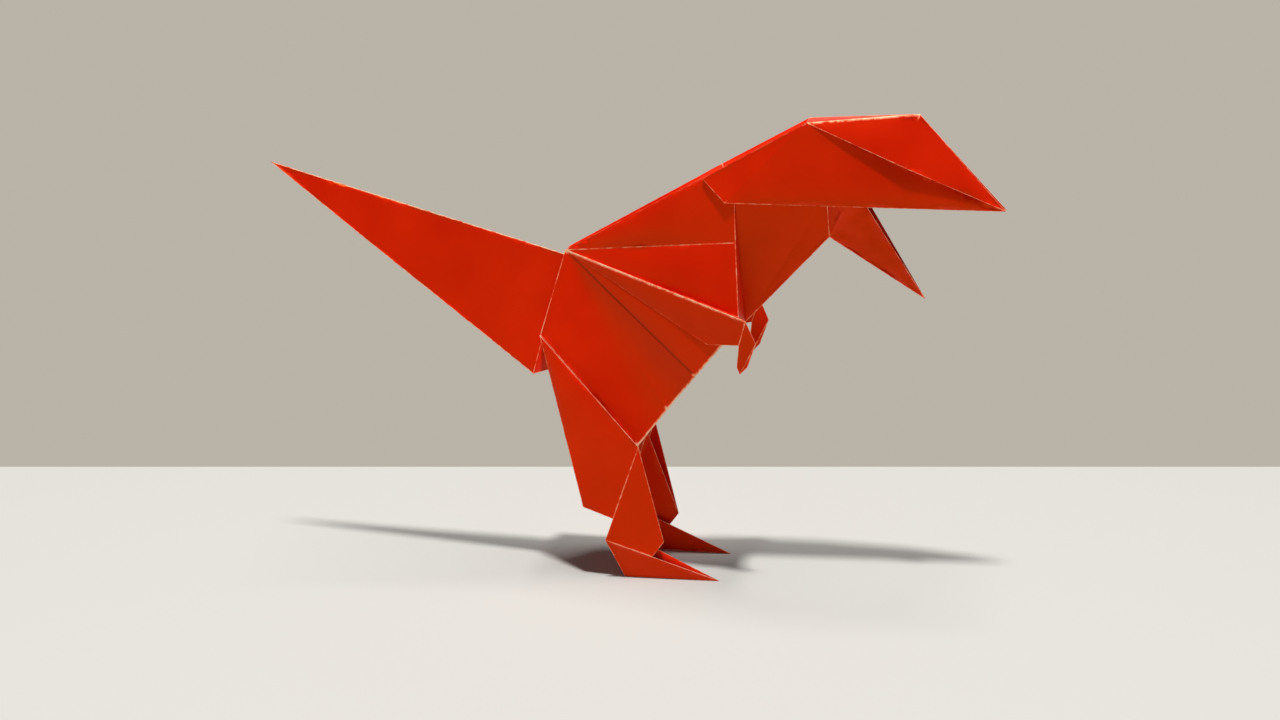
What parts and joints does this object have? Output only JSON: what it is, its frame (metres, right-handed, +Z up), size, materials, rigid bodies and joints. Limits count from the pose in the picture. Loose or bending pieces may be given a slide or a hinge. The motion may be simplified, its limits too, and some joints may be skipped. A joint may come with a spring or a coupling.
{
  "type": "folded paper dinosaur",
  "caption": "Standing tyrannosaur figure folded from a square of glossy red-orange paper, with a long pointed tail, small hands and an open lower jaw.",
  "frame": {"origin": "on the surface the figure stands on, under the middle of its length and in its middle plane", "axes": "+X from tail to nose, +Y to the figure's left side, +Z up"},
  "size_m": [0.1468, 0.0214, 0.0938],
  "materials": {
    "paper": "satin coated, pale along the folds and cut edges"
  },
  "bodies": {
    "root": {"folded_sheet": "paper"}
  },
  "joints": []
}
